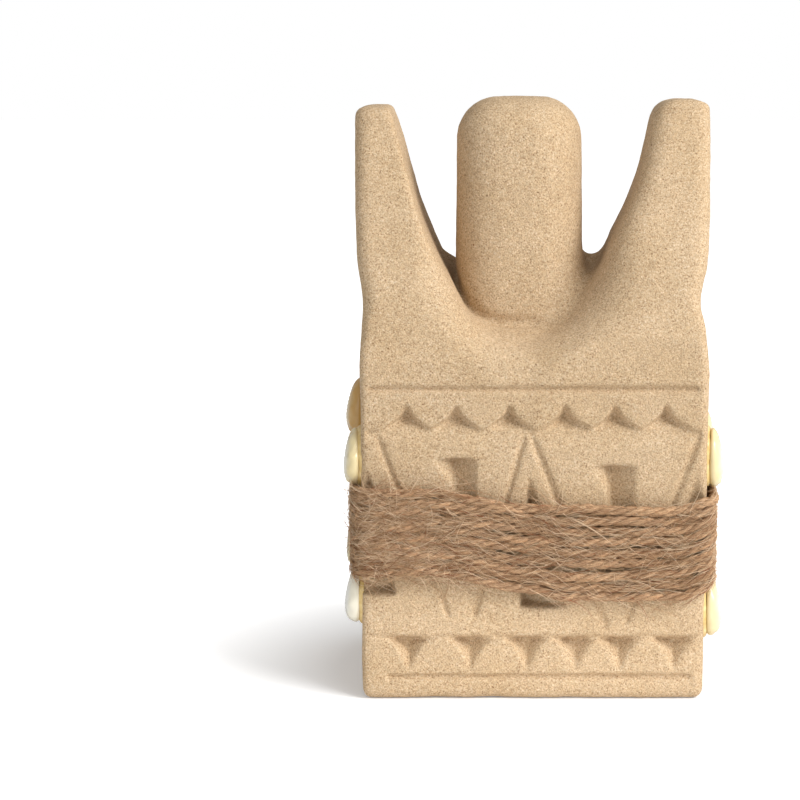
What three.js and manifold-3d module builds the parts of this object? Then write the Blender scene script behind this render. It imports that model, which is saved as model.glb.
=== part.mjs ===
// Abstract totem figure: a carved sandstone block with two horns and a post, bound with jute
// twine and set with cowrie shells on both side faces.
// Millimetres, +Z up. The origin is the middle of the base and the carved front faces -Y.

import * as THREE from 'three';
import { mergeVertices } from 'three/addons/utils/BufferGeometryUtils.js';
import { ConvexGeometry } from 'three/addons/geometries/ConvexGeometry.js';
import Module from 'manifold-3d';

// Block
const widths = {               // distance of each side from the middle at four heights
  '-1': { base: 42.1, block: 41.9, waist: 41.8, horn: 43.9 },
  1: { base: 41.8, block: 42.6, waist: 41.3, horn: 43.7 },
};
const halfDepth = 32;
const blockTopZ = 80;          // where the shoulders start to round
const edgeRadius = 2.2;        // rounding of the block's upright and bottom edges

// Crown: two horns with a sloping saddle and a post between them
const waistZ = 98;             // pinch between the block's shoulder and the horns
const widest = 43.9;           // across the horns, from the middle
const leftHornTopZ = 144;
const rightHornTopZ = 146.2;
const ridgeY = 8;              // crest of the saddle
const ridgeZ = 105.8;
const saddleSlope = 0.55;      // rise per mm on the way back from the front face
const postRadius = 16;
const postX = -3.5;
const postTopZ = 146.6;
const postRounding = 8.5;
const postSquareness = 2.7;    // exponent of the post's superelliptic section, 2 is a circle

// Carving, the same on the front and on the back
const chipDepth = 2.1;
const topGrooveZ = 77.7;
const topBandApexZ = 73.9;
const topBandFlushZ = 67.2;
const topBandApexX = [-30.5, -18.5, -5.6, 7.8, 19.9, 32.2];
const bottomBandTopZ = 15.4;
const bottomBandApexZ = 7.4;
const bottomBandApexX = [-30.8, -14.8, -2, 10.9, 21.5, 32.6];
const bottomGrooveZ = 5.8;
const grooveDepth = 0.6;
const grooveHalfWidth = 0.55;
const zigzagLines = [          // top x, top z, bottom x, bottom z
  [-38.1, 66.5, -19.7, 18.8],
  [-1.9, 66.8, -14.8, 20],
  [-0.7, 66.8, 18.2, 17.8],
  [40.6, 66.8, 22.4, 18.8],
];

// Twine
const twineDiameter = 2.4;
const twineTurns = 10;
const twineTopZ = 52.9;
const twineBottomZ = { '-1': 31.2, 1: 29.3 };  // on the front and back, to the left and right of the tuck
const twineSideBottomZ = { '-1': 31.8, 1: 29.9 };  // the turns crowd together above the lower shells
const frontSag = 3.8;          // how far the winding drops across the front, to the right of the middle
const topLevelY = -12;         // how far back along the right side its top edge is level again
const contactGap = 0.3;

// Shells: side, y, z, length, what they sit on and the turn towards the nearer corner
const shellWidthRatio = 0.74;
const shellHeight = 3;
const glueThickness = 0.4;
const cornerTilt = 6;          // degrees
const shells = [
  { name: 'left_upper_front', side: -1, y: -25.6, z: 59.7, length: 14.4, tilt: cornerTilt },
  { name: 'left_upper_middle', side: -1, y: -2, z: 68.4, length: 14.8, height: 4.7 },
  { name: 'left_upper_back', side: -1, y: 24.8, z: 60.6, length: 14, tilt: -cornerTilt },
  { name: 'left_lower_front', side: -1, y: -25.6, z: 24.8, length: 13, tilt: cornerTilt },
  { name: 'left_lower_middle', side: -1, y: 0, z: 33, length: 12.7, height: 2.3, onTwine: true },
  { name: 'left_lower_back', side: -1, y: 24.8, z: 20.8, length: 13.6, tilt: -cornerTilt },
  { name: 'right_upper_front', side: 1, y: -25.6, z: 59.6, length: 14.6, height: 2.7, tilt: cornerTilt },
  { name: 'right_upper_middle', side: 1, y: -1, z: 60.6, length: 14.2 },
  { name: 'right_upper_back', side: 1, y: 24.8, z: 61, length: 14, tilt: -cornerTilt },
  { name: 'right_lower_front', side: 1, y: -25.6, z: 22.1, length: 14.2, tilt: cornerTilt },
  { name: 'right_lower_middle', side: 1, y: 2, z: 21, length: 13.4 },
  { name: 'right_lower_back', side: 1, y: 24.8, z: 20.4, length: 13.8, tilt: -cornerTilt },
];

const wasm = await Module();
wasm.setup();

const sandstone = () => new THREE.MeshStandardMaterial({ color: 0xd3b183, roughness: 0.95, metalness: 0 });
const jute = () => new THREE.MeshStandardMaterial({ color: 0x9a7851, roughness: 0.95, metalness: 0 });
const cowrie = () => new THREE.MeshStandardMaterial({ color: 0xf0e4bd, roughness: 0.3, metalness: 0 });
const glue = () => new THREE.MeshStandardMaterial({ color: 0xe8dcb4, roughness: 0.25, metalness: 0 });

function solid(geometry) {
  const plain = geometry.clone();
  plain.deleteAttribute('normal');
  plain.deleteAttribute('uv');
  const merged = mergeVertices(plain, 1e-4);
  return new wasm.Manifold(new wasm.Mesh({
    numProp: 3,
    vertProperties: new Float32Array(merged.getAttribute('position').array),
    triVerts: new Uint32Array(merged.getIndex().array),
  }));
}

function geometryOf(manifold) {
  const mesh = manifold.getMesh();
  const geometry = new THREE.BufferGeometry();
  geometry.setAttribute('position', new THREE.BufferAttribute(new Float32Array(mesh.vertProperties), 3));
  geometry.setIndex(new THREE.BufferAttribute(new Uint32Array(mesh.triVerts), 1));
  geometry.computeVertexNormals();
  return geometry;
}

// Outlines drawn as seen from the front (x, z), extruded through the whole depth.
function throughDepth(shape) {
  const length = 2 * halfDepth + 20;
  const geometry = new THREE.ExtrudeGeometry(shape, { depth: length, bevelEnabled: false });
  return solid(geometry.rotateX(Math.PI / 2).translate(0, length / 2, 0));
}

// Outlines drawn as seen from the side (y, z), extruded through the whole width.
function throughWidth(shape) {
  const length = 2 * widest + 20;
  const geometry = new THREE.ExtrudeGeometry(shape, { depth: length, bevelEnabled: false });
  const turn = new THREE.Matrix4().makeBasis(
    new THREE.Vector3(0, 1, 0), new THREE.Vector3(0, 0, 1), new THREE.Vector3(1, 0, 0));
  return solid(geometry.applyMatrix4(turn).translate(-length / 2, 0, 0));
}

function shapeOf(points) {
  return new THREE.Shape(points.map(([u, v]) => new THREE.Vector2(u, v)));
}

function smoothPoints(points, steps) {
  const curve = new THREE.SplineCurve(points.map(([u, v]) => new THREE.Vector2(u, v)));
  return curve.getPoints(steps).map((point) => [point.x, point.y]);
}

// One side of the silhouette from the base up, as [distance from the middle, z].
function sideEdge(side) {
  const { base, block, waist, horn } = widths[side];
  return [
    [base, 0],
    ...smoothPoints([
      [block - 0.1, blockTopZ - 4], [block, blockTopZ + 3], [block - 0.3, waistZ - 6], [waist, waistZ],
      [horn - 1.2, waistZ + 9], [horn - 0.4, waistZ + 20], [horn, waistZ + 40],
    ], 20),
  ];
}

const sideEdges = { '-1': sideEdge(-1), 1: sideEdge(1) };

function widthAt(z, side) {
  const edge = sideEdges[side];
  const next = edge.findIndex((point) => point[1] > z);
  if (next < 0) return widths[side].horn;
  if (next === 0) return widths[side].base;
  const [x0, z0] = edge[next - 1];
  const [x1, z1] = edge[next];
  return THREE.MathUtils.mapLinear(z, z0, z1, x0, x1);
}

// The horns' tops, seen from the front, on a plain slab.
function slab() {
  const reach = widest + 2;
  return shapeOf([
    [-reach, -1], [reach, -1], [reach, rightHornTopZ - 6], [widest - 0.6, rightHornTopZ - 1.8],
    [widest - 2.4, rightHornTopZ], [32, rightHornTopZ], [30.4, rightHornTopZ - 1],
    [-35.4, leftHornTopZ - 0.8], [-36.6, leftHornTopZ], [2.4 - widest, leftHornTopZ],
    [0.5 - widest, leftHornTopZ - 2], [-reach, leftHornTopZ - 6],
  ]);
}

// Space between the horns, down to below the saddle's surface.
function valley() {
  const sides = smoothPoints([
    [-35.4, leftHornTopZ - 0.8], [-32.3, 134.5], [-28.8, 121], [-25.1, 111.3], [-20.6, 102.5],
    [-13, 91], [-1.5, 85], [10, 90], [15.8, 103], [19.2, 111.2], [24, 121.5], [27.3, 132],
    [30.4, rightHornTopZ - 1],
  ], 30);
  return shapeOf([...sides, [34, rightHornTopZ + 20], [-38, rightHornTopZ + 20]]);
}

function hornSideView() {
  return shapeOf([
    [-halfDepth, -1], [-halfDepth, blockTopZ + 3], [-31.6, 88], [-29.8, waistZ - 3.5], [-27.8, waistZ + 3],
    [-24.5, 110], [-20.4, 121], [-16.4, 133], [-13.8, 141], [-11.5, 144.2], [-7, rightHornTopZ],
    [3, rightHornTopZ + 0.1], [6.8, 144.6], [8.8, 141], [10.6, 131], [14, 117], [19.6, 105.5],
    [25, waistZ - 1.5], [29.6, 91.5], [31.6, 86], [halfDepth, blockTopZ], [halfDepth, -1],
  ]);
}

function saddleSideView() {
  const slope = (y) => ridgeZ - saddleSlope * (ridgeY - y);
  return shapeOf([
    [-halfDepth, -1], [-halfDepth, slope(-halfDepth) - 1.5], [1.5 - halfDepth, slope(1.5 - halfDepth)],
    [ridgeY - 3, slope(ridgeY - 3)], [ridgeY, ridgeZ - 0.3], [ridgeY + 3, ridgeZ - 1.6],
    [halfDepth - 3, 91], [halfDepth - 0.8, 88], [halfDepth, 84], [halfDepth, -1],
  ]);
}

function roundedPlan(halfX, halfY, radius) {
  const shape = new THREE.Shape();
  shape.moveTo(halfX - radius, -halfY);
  shape.absarc(halfX - radius, radius - halfY, radius, -Math.PI / 2, 0);
  shape.absarc(halfX - radius, halfY - radius, radius, 0, Math.PI / 2);
  shape.absarc(radius - halfX, halfY - radius, radius, Math.PI / 2, Math.PI);
  shape.absarc(radius - halfX, radius - halfY, radius, Math.PI, 1.5 * Math.PI);
  return shape;
}

// Rounded plan carried up the whole height, with its width following the two side edges.
function envelope() {
  const bevel = 1.4;
  const geometry = new THREE.ExtrudeGeometry(roundedPlan(widest, halfDepth, edgeRadius), {
    depth: rightHornTopZ + 6, steps: 30, curveSegments: 3, bevelEnabled: true, bevelThickness: bevel,
    bevelSize: bevel, bevelOffset: -bevel, bevelSegments: 2,
  }).translate(0, 0, bevel);
  const position = geometry.getAttribute('position');
  for (let i = 0; i < position.count; i += 1) {
    const x = position.getX(i);
    position.setX(i, x * widthAt(position.getZ(i), Math.sign(x) || 1) / widest);
  }
  return solid(geometry);
}

function post() {
  const profile = [
    new THREE.Vector2(0, blockTopZ - 5),
    new THREE.Vector2(postRadius, blockTopZ - 5),
    new THREE.Vector2(postRadius, 110),
    new THREE.Vector2(postRadius - 0.3, postTopZ - postRounding - 0.6),
  ];
  for (let step = 1; step <= 5; step += 1) {
    const angle = step / 5 * Math.PI / 2;
    profile.push(new THREE.Vector2(
      postRadius - 0.3 - postRounding * (1 - Math.cos(angle)),
      postTopZ - 0.6 - postRounding * (1 - Math.sin(angle))));
  }
  profile.push(new THREE.Vector2(0, postTopZ));
  const geometry = new THREE.LatheGeometry(profile, 28).rotateX(Math.PI / 2);
  const position = geometry.getAttribute('position');
  for (let i = 0; i < position.count; i += 1) {
    const x = position.getX(i);
    const y = position.getY(i);
    const radius = Math.hypot(x, y);
    if (radius > 1e-6) {
      const cos = Math.abs(x / radius) ** postSquareness;
      const sin = Math.abs(y / radius) ** postSquareness;
      const reach = (cos + sin) ** (-1 / postSquareness);
      position.setXY(i, x * reach, y * reach);
    }
  }
  return solid(geometry.translate(postX, 0, 0));
}

// A cut with its mouth on the front face: outline points (x, z) and floor points (x, z, depth).
function recess(outline, floor) {
  const points = [];
  for (const [x, z] of outline) {
    points.push(new THREE.Vector3(x, -halfDepth - 1, z), new THREE.Vector3(x, -halfDepth, z));
  }
  for (const [x, z, depth] of floor) points.push(new THREE.Vector3(x, depth - halfDepth, z));
  return solid(new ConvexGeometry(points));
}

function groove([x0, z0, x1, z1]) {
  const length = Math.hypot(x1 - x0, z1 - z0);
  const u = (z1 - z0) / length * grooveHalfWidth;
  const v = -(x1 - x0) / length * grooveHalfWidth;
  return recess(
    [[x0 - u, z0 - v], [x0 + u, z0 + v], [x1 + u, z1 + v], [x1 - u, z1 - v]],
    [[x0, z0, grooveDepth], [x1, z1, grooveDepth]]);
}

function carving() {
  const cuts = [
    groove([-40.2, topGrooveZ, 40.2, topGrooveZ]),
    groove([-36.3, bottomGrooveZ, 39, bottomGrooveZ]),
    groove([-40.4, bottomBandTopZ + 0.3, 40.4, bottomBandTopZ + 0.3]),
    ...zigzagLines.map(groove),
  ];
  for (const x of topBandApexX) {
    cuts.push(recess(
      [[x, topBandApexZ], [x - 5.4, topBandFlushZ], [x + 5.4, topBandFlushZ]],
      [[x, topBandApexZ - 0.7, chipDepth]]));
  }
  for (const x of bottomBandApexX) {
    cuts.push(recess(
      [[x, bottomBandApexZ], [x - 5.6, bottomBandTopZ], [x + 5.6, bottomBandTopZ]],
      [[x, bottomBandTopZ - 0.7, chipDepth]]));
  }
  // T-shaped notches: a wedge that deepens to the right, with a square slot down from it.
  for (const [left, right, top, slotLeft] of [[-24.3, -14, 60, -19.6], [14.2, 24.6, 58.2, 18.4]]) {
    cuts.push(recess(
      [[left, top - 0.2], [right, top], [right, top - 4.6], [slotLeft, top - 4.6]],
      [[slotLeft, top - 0.3, 1.2], [right, top - 0.1, 2], [right, top - 4.6, 2]]));
    cuts.push(recess(
      [[slotLeft, top - 0.4], [right, top - 0.2], [right, top - 30], [slotLeft, top - 30]],
      [[slotLeft + 0.5, top - 0.4, 2.6], [right - 0.3, top - 0.2, 3], [right - 0.3, top - 30, 2.6],
        [slotLeft + 0.5, top - 30, 2.6]]));
  }
  // Narrow wedge between the two V shapes, deepest at its foot.
  cuts.push(recess(
    [[-1, 57], [-2.5, 24.2], [5.6, 24.2]],
    [[-1, 55, 0.8], [-2, 25, 3], [4.4, 25, 2.6]]));
  // Wedge that runs out at the left edge.
  cuts.push(recess(
    [[-43, 58], [-40.6, 58], [-34, 27.9], [-43, 27.9]],
    [[-43, 50, 1], [-40, 50, 1], [-34.8, 28.6, 2.6], [-43, 28.6, 2.6]]));
  return cuts.reduce((all, cut) => all.add(cut));
}

function stoneBody() {
  const outer = throughDepth(slab()).intersect(envelope());
  const horns = outer.intersect(throughWidth(hornSideView())).subtract(throughDepth(valley()));
  const saddle = outer.intersect(throughWidth(saddleSideView()));
  const front = carving();
  const back = front.rotate([0, 0, 180]);
  return horns.add(saddle).add(post()).subtract(front).subtract(back);
}

// Stations round the block's plan at the twine's height: a point and its outward direction.
function windingStations() {
  const halfX = Math.max(widthAt(twineTopZ, -1), widthAt(twineTopZ, 1));
  const outline = roundedPlan(halfX, halfDepth, edgeRadius).getPoints(3);
  outline.pop();
  const stations = [];
  outline.forEach((point, index) => {
    const next = outline[(index + 1) % outline.length];
    const splits = point.distanceTo(next) > 20 ? 8 : 1;
    for (let split = 0; split < splits; split += 1) {
      const at = point.clone().lerp(next, split / splits);
      const inner = new THREE.Vector2(
        THREE.MathUtils.clamp(at.x, edgeRadius - halfX, halfX - edgeRadius),
        THREE.MathUtils.clamp(at.y, edgeRadius - halfDepth, halfDepth - edgeRadius));
      stations.push({ at, out: at.clone().sub(inner).normalize() });
    }
  });
  return stations;
}

// How far an edge of the winding has dropped at a point round the block, level again by a depth.
function dropAt({ at }, levelY) {
  const fall = THREE.MathUtils.smoothstep(at.x, -24, 0);
  const rise = THREE.MathUtils.smoothstep(at.x, 35, 47);
  const level = THREE.MathUtils.smoothstep(at.y, -halfDepth, levelY);
  return frontSag * fall * (1 - rise) * (1 - level);
}

function topAt(station) {
  return twineTopZ - dropAt(station, topLevelY);
}

function bottomAt(station) {
  const { at } = station;
  const pastTuck = THREE.MathUtils.smoothstep(at.x, 0, 9);
  const onSide = THREE.MathUtils.smoothstep(halfDepth - Math.abs(at.y), 0, edgeRadius);
  const flat = THREE.MathUtils.lerp(twineBottomZ['-1'], twineBottomZ[1], pastTuck);
  const bottom = THREE.MathUtils.lerp(flat, twineSideBottomZ[Math.sign(at.x) || 1], onSide);
  return bottom - dropAt(station, edgeRadius - halfDepth);
}

// A ring whose outside shows the turns as ridges: a lathe bent round the block. The profile holds
// how far a point stands out and its share of the band's height.
function twineWinding() {
  const profile = [new THREE.Vector2(contactGap, 1), new THREE.Vector2(contactGap, 0)];
  for (let turn = 0; turn < twineTurns; turn += 1) {
    profile.push(new THREE.Vector2(contactGap + 0.55 * twineDiameter, (turn + 0.08) / twineTurns));
    profile.push(new THREE.Vector2(contactGap + twineDiameter, (turn + 0.5) / twineTurns));
  }
  profile.push(new THREE.Vector2(contactGap + 0.55 * twineDiameter, 1 - 0.08 / twineTurns));
  profile.push(profile[0].clone());
  const stations = windingStations();
  const geometry = new THREE.LatheGeometry(profile, stations.length);
  const position = geometry.getAttribute('position');
  for (let i = 0; i < position.count; i += 1) {
    const station = stations[Math.floor(i / profile.length) % stations.length];
    const { x: out, y: share } = profile[i % profile.length];
    position.setXYZ(i,
      station.at.x + station.out.x * out,
      station.at.y + station.out.y * out,
      THREE.MathUtils.lerp(bottomAt(station), topAt(station), share));
  }
  return geometry;
}

// Cowrie with its back cut off: a hollow dome on a rounded rim, with the long slit in its face.
// Drawn with its axis along +Z and its length along Y, its rim at z = 0.
function cowrieShell(length, height) {
  const profile = [
    [0, 0.55], [0.45, 0.48], [0.72, 0.2], [0.76, 0], [0.93, 0], [1, 0.24], [0.96, 0.55], [0.72, 0.88], [0.35, 1],
    [0, 0.98],
  ].map(([r, z]) => new THREE.Vector2(r * length / 2, z * height));
  const dome = new THREE.LatheGeometry(profile, 16).rotateX(Math.PI / 2).scale(shellWidthRatio, 1, 1);
  const slit = new THREE.BoxGeometry(0.9, 0.72 * length, height);
  return solid(dome).subtract(solid(slit.translate(0, 0, height)));
}

// Glue that fills the hollow and spreads a little under the rim.
function glueBed(length, height) {
  const below = glueThickness + contactGap;
  const profile = [
    [0, -below], [0.84 * length / 2, -below], [0.84 * length / 2, -contactGap],
    [0.64 * length / 2, -contactGap], [0.6 * length / 2, 0.1 * height], [0.3 * length / 2, 0.34 * height],
    [0, 0.36 * height],
  ].map(([r, z]) => new THREE.Vector2(r, z));
  return new THREE.LatheGeometry(profile, 12).rotateX(Math.PI / 2).scale(shellWidthRatio, 1, 1);
}

// The group's +Z points out of the side face, and its Y runs up the face.
function shellGroup({ name, side, y, z, length, height = shellHeight, tilt = 0, onTwine = false }) {
  const shell = new THREE.Mesh(geometryOf(cowrieShell(length, height)), cowrie());
  shell.name = `cowrie_${name}`;
  const bed = new THREE.Mesh(glueBed(length, height), glue());
  bed.name = `glue_${name}`;
  const group = new THREE.Group();
  group.add(shell, bed);
  const turned = Math.abs(THREE.MathUtils.degToRad(tilt)) * shellWidthRatio * length / 2 * 0.86;
  const proud = onTwine ? twineDiameter + contactGap : 0;
  const reach = Math.max(widthAt(z + length / 2, side), widthAt(z - length / 2, side))
    + proud + 2 * contactGap + glueThickness + turned;
  group.position.set(side * reach, y, z);
  const out = new THREE.Vector3(side, 0, 0)
    .applyAxisAngle(new THREE.Vector3(0, 0, 1), THREE.MathUtils.degToRad(-side * tilt));
  const up = new THREE.Vector3(0, 0, 1);
  group.quaternion.setFromRotationMatrix(
    new THREE.Matrix4().makeBasis(new THREE.Vector3().crossVectors(up, out), up, out));
  return group;
}

const group = new THREE.Group();

const stone = new THREE.Mesh(geometryOf(stoneBody()), sandstone());
stone.name = 'stone_body';
group.add(stone);

const twine = new THREE.Mesh(twineWinding(), jute());
twine.name = 'twine_wrap';
group.add(twine);

for (const place of shells) group.add(shellGroup(place));

export default group;
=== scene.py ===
"""Looks of the totem figure: carved sandstone, jute twine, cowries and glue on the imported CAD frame.

Shapes are worked out in millimetres in the part's own frame (+Z up, the carved front faces -Y)
and become metres when a mesh is made.
"""

import math

import bpy
import numpy as np
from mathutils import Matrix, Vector


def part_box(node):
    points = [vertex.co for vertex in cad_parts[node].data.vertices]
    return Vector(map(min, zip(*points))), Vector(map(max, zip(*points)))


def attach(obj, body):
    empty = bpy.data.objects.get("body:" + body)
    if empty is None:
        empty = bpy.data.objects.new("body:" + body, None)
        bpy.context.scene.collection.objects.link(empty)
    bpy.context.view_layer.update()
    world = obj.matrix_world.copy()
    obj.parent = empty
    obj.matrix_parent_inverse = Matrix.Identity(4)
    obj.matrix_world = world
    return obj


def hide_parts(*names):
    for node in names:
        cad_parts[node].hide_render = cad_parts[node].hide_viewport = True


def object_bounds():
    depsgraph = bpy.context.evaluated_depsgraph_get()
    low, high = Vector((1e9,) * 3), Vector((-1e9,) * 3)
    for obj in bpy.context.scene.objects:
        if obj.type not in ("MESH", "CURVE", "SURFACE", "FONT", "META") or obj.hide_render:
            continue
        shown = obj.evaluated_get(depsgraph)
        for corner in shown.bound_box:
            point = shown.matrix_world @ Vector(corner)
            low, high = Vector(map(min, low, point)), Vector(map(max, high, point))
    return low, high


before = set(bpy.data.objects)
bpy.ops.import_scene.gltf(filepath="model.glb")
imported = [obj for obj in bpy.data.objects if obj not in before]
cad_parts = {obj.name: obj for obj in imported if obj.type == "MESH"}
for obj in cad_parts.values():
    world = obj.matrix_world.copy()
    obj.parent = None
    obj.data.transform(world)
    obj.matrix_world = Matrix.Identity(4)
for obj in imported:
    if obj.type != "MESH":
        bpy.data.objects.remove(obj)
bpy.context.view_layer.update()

MM = 0.001
BODY = "root"

# Block, in millimetres; widths are distances of a side from the middle
LEFT, RIGHT = -1, 1
BASE_WIDTH = {LEFT: 42.1, RIGHT: 41.8}
BLOCK_WIDTH = {LEFT: 41.9, RIGHT: 42.6}
WAIST_WIDTH = {LEFT: 41.3, RIGHT: 40.7}
HORN_WIDTH = {LEFT: 43.9, RIGHT: 43.7}
HALF_DEPTH = 32.0
BLOCK_TOP_Z = 80.0
EDGE_RADIUS = 2.2
FOOT_ROUNDING = 3.0
WAIST_Z = 98.0
LEFT_HORN_TOP_Z = 144.5
RIGHT_HORN_TOP_Z = 146.4
RIDGE_Y = 8.0
RIDGE_Z = 105.8
SADDLE_SLOPE = 0.55
POST_FOOT_Z = 91.3             # the saddle dips a little in front of the post
POST_RADIUS = 16.0
POST_X = -3.5
POST_TOP_Z = 146.5
POST_ROUNDING = 10.0
POST_SQUARENESS = 2.7

# Carving
TOP_GROOVE_Z = 77.3
TOP_BAND_APEX_Z = 73.2
TOP_BAND_FLUSH_Z = 67.4
TOP_BAND_APEX_X = (-30.5, -18.5, -5.6, 7.8, 19.9, 32.2)
BOTTOM_BAND_TOP_Z = 15.7
BOTTOM_BAND_APEX_Z = 6.6
BOTTOM_BAND_APEX_X = (-30.8, -15.7, -2.0, 9.9, 20.9, 34.1)
BOTTOM_GROOVE_Z = 5.8

# Twine
TWINE_DIAMETER = 2.4
TWINE_TOP_Z = 52.9
TWINE_BOTTOM_Z = {LEFT: 31.2, RIGHT: 29.3}  # on the front and back, on either side of the tuck
TWINE_SIDE_BOTTOM_Z = {LEFT: 31.8, RIGHT: 29.9}
FRONT_SAG = 3.8
TOP_LEVEL_Y = -12.0            # how far back along the right side the top edge is level again
TWINE_MIDDLE_Z = 41.0
LEAD_IN = 24.0                 # length on the left face before the first turn of the front
TURNS_LEFT_OF_TUCK = 10
TURNS_RIGHT_OF_TUCK = 9
TUCK_X = 2.5
PLY_RADIUS = 0.66
PLY_ORBIT = 0.64               # distance of a ply's middle from the twine's middle
TWIST_LENGTH = 10.5            # length of one full turn of the twist
PLY_SIDES = 8
HAIR_POINTS = 7
HUGGING_HAIRS = 4200
LIFTED_HAIRS = 520
STANDING_HAIRS = 70
TUCK_HAIRS = 60

# Shells
CORNER_TILT = 6.0              # degrees, towards the nearer corner
CONTACT_GAP = 0.3
KNOBS = 9
SHELL_RINGS = 30
SHELL_SPOKES = 112
BEAD_SPOKES = 80
# This shell gets a darker, amber copy of the shell look: painted shade for the shell that sits in shadow
# behind the front corner shell.
PAINTED_SHADE_SHELL = "left_upper_middle"
WHITE_SHELL = "left_lower_front"

# Light: degrees to the right of the front and up, metres and watts
SKY_STRENGTH = 0.5
# Strength of the floor's painted glow, which only the camera sees.
FLOOR_GLOW = 0.6
KEY = {"azimuth": 55, "elevation": 35, "distance": 1.3, "size": 0.8, "power": 19, "height": 0.07}
FILL = {"azimuth": -20, "elevation": 6, "distance": 1.2, "size": 0.9, "power": 1.6, "height": 0.07}
# A low flat card close in front lifts the foot of the figure, as white paper on the table does.
CARD = {"azimuth": 4, "elevation": 3, "distance": 0.064, "size": 0.13, "power": 0.0065, "height": 0.008}
CARD_FLATNESS = 0.12

# Camera, in metres
CAMERA_DISTANCE = 0.55
CAMERA_PITCH = 9               # degrees
CAMERA_AIM_Z = 0.07476
CAMERA_LENS = 102.66
CAMERA_SHIFT = -0.16625
FACE_BEHIND_TWINE = 0.0027     # the carved face, behind the frontmost point of the part

# Surface resolution
VOXEL = 0.45
MOST_TRIANGLES = 190_000


# ---- helpers


def smooth_curve(points, steps):
    """Points on a Catmull-Rom curve through the given points."""
    points = np.asarray(points, float)
    padded = np.vstack([2 * points[0] - points[1], points, 2 * points[-1] - points[-2]])
    t = np.linspace(0, len(points) - 1, steps + 1)
    i = np.minimum(t.astype(int), len(points) - 2)
    f = (t - i)[:, None]
    a, b, c, d = (padded[i + k] for k in range(4))
    return 0.5 * (2 * b + (c - a) * f + (2 * a - 5 * b + 4 * c - d) * f**2 + (3 * b - a - 3 * c + d) * f**3)


def outline_distance(points, u, v):
    """Signed distance from (u, v) to a closed outline, negative inside."""
    points = np.asarray(points, float)
    nearest = np.full(np.broadcast(u, v).shape, np.inf)
    inside = np.zeros(nearest.shape, bool)
    for (u0, v0), (u1, v1) in zip(points, np.roll(points, -1, axis=0)):
        du, dv = u1 - u0, v1 - v0
        along = np.clip(((u - u0) * du + (v - v0) * dv) / (du * du + dv * dv), 0, 1)
        nearest = np.minimum(nearest, np.hypot(u - u0 - along * du, v - v0 - along * dv))
        if dv:
            inside ^= ((v0 > v) != (v1 > v)) & (u < u0 + (v - v0) / dv * du)
    return np.where(inside, -nearest, nearest).astype(np.float32)


def smooth_max(a, b, blend):
    """Larger of two distances, with the crease between them rounded over about blend millimetres."""
    overlap = np.maximum(blend - np.abs(a - b), 0) / blend
    return np.maximum(a, b) + overlap * overlap * blend / 4


def smooth_min(a, b, blend):
    return -smooth_max(-a, -b, blend)


def smooth_step(low, high, x):
    t = np.clip((x - low) / (high - low), 0, 1)
    return t * t * (3 - 2 * t)


def rounded_corner(first, second, radius):
    """Distance to a rounded corner, from the distances past the two planes its middle lies on."""
    outside = np.hypot(np.maximum(first, 0), np.maximum(second, 0))
    return outside + np.minimum(np.maximum(first, second), 0) - radius


def mesh_object(name, vertices_mm, faces):
    """Smooth-shaded mesh object from millimetre vertices and an array of equal-sided faces."""
    vertices = np.asarray(vertices_mm, np.float32) * MM
    faces = np.asarray(faces, np.int32)
    mesh = bpy.data.meshes.new(name)
    mesh.vertices.add(len(vertices))
    mesh.vertices.foreach_set("co", vertices.ravel())
    sides = faces.shape[1]
    mesh.loops.add(faces.size)
    mesh.loops.foreach_set("vertex_index", faces.ravel())
    mesh.polygons.add(len(faces))
    mesh.polygons.foreach_set("loop_start", np.arange(0, faces.size, sides, dtype=np.int32))
    mesh.polygons.foreach_set("loop_total", np.full(len(faces), sides, np.int32))
    mesh.update(calc_edges=True)
    mesh.polygons.foreach_set("use_smooth", np.ones(len(faces), bool))
    obj = bpy.data.objects.new(name, mesh)
    bpy.context.scene.collection.objects.link(obj)
    return obj


def triangles(quads):
    return np.vstack([quads[:, [0, 1, 2]], quads[:, [0, 2, 3]]])


def add_attribute(obj, name, values):
    made = obj.data.attributes.new(name, "FLOAT", "POINT")
    made.data.foreach_set("value", np.asarray(values, np.float32))


def add_vector_attribute(obj, name, values):
    made = obj.data.attributes.new(name, "FLOAT_VECTOR", "POINT")
    made.data.foreach_set("vector", np.asarray(values, np.float32).ravel())


def cell_points(field, cells):
    """Mean of the points where the zero surface crosses each cell's edges, in cell units."""
    corner_steps = [(i, j, k) for i in (0, 1) for j in (0, 1) for k in (0, 1)]
    corner = {c: field[cells[:, 0] + c[0], cells[:, 1] + c[1], cells[:, 2] + c[2]] for c in corner_steps}
    total = np.zeros((len(cells), 3))
    crossings = np.zeros(len(cells))
    for start in corner_steps:
        for axis in range(3):
            if start[axis]:
                continue
            end = tuple(1 if n == axis else start[n] for n in range(3))
            a, b = corner[start], corner[end]
            crosses = (a < 0) != (b < 0)
            t = np.where(crosses, a / np.where(crosses, a - b, 1), 0)
            point = np.array(start, float) + np.eye(3)[axis] * t[:, None]
            total += point * crosses[:, None]
            crossings += crosses
    return total / crossings[:, None]


def net_quads(inside, number):
    """Quads round every sample edge that crosses the surface, from the number of each cell's vertex."""
    quads = []
    for axis in range(3):
        low = [slice(1, n) for n in number.shape]
        low[axis] = slice(0, number.shape[axis])
        high = list(low)
        high[axis] = slice(1, number.shape[axis] + 1)
        a, b = inside[tuple(low)], inside[tuple(high)]
        first, second = (axis + 1) % 3, (axis + 2) % 3
        for crossing, flip in ((a & ~b, False), (~a & b, True)):
            at = np.argwhere(crossing)
            at[:, first] += 1
            at[:, second] += 1
            ring = []
            for back_first, back_second in ((1, 1), (0, 1), (0, 0), (1, 0)):
                cell = at.copy()
                cell[:, first] -= back_first
                cell[:, second] -= back_second
                ring.append(number[tuple(cell.T)])
            quad = np.stack(ring, axis=1)
            quads.append(quad[:, ::-1] if flip else quad)
    return np.vstack(quads)


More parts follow.
